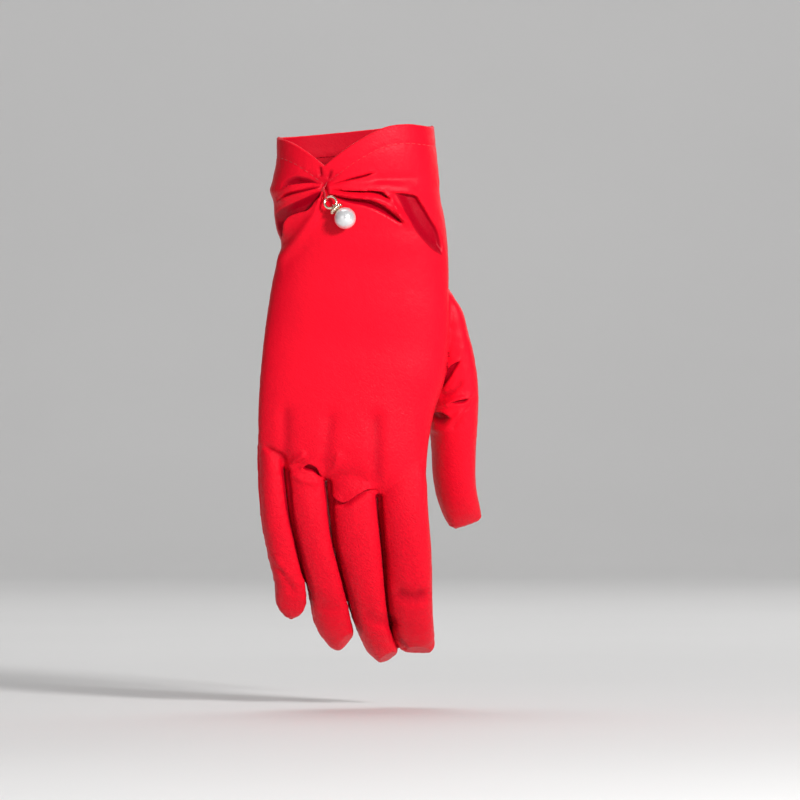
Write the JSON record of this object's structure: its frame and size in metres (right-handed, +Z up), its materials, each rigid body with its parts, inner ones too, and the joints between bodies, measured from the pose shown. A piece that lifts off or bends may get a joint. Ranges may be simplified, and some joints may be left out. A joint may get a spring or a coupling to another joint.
{
  "type": "wrist length dress glove",
  "caption": "Right-hand wrist length dress glove in red stretch satin, in its worn shape, with a gathered cuff and a pearl charm on a jump ring",
  "frame": {"origin": "middle of the wrist hollow, at the height of the gather in the cuff", "axes": "+Z up along the wrist and out of the glove's opening, with the fingers pointing down; -Y is the way the back of the hand faces; +X towards the thumb"},
  "size_m": [0.0865, 0.0667, 0.2095],
  "materials": {
    "satin": "bright red stretch satin with a soft sheen",
    "satin_inside": "duller inner side of the red satin",
    "thread": "red sewing thread",
    "gold_metal": "pale gold plate, polished",
    "pearl": "white imitation pearl with a silvery lustre"
  },
  "bodies": {
    "root": {"back_panel": "satin", "palm_panel": "satin", "thumb": "satin", "gusset_little_ring": "satin", "gusset_ring_middle": "satin", "gusset_middle_index": "satin", "cuff_hem": "satin_inside", "charm_thread": "thread", "jump_ring": "gold_metal", "pearl_cap": "gold_metal", "pearl": "pearl"}
  },
  "joints": []
}
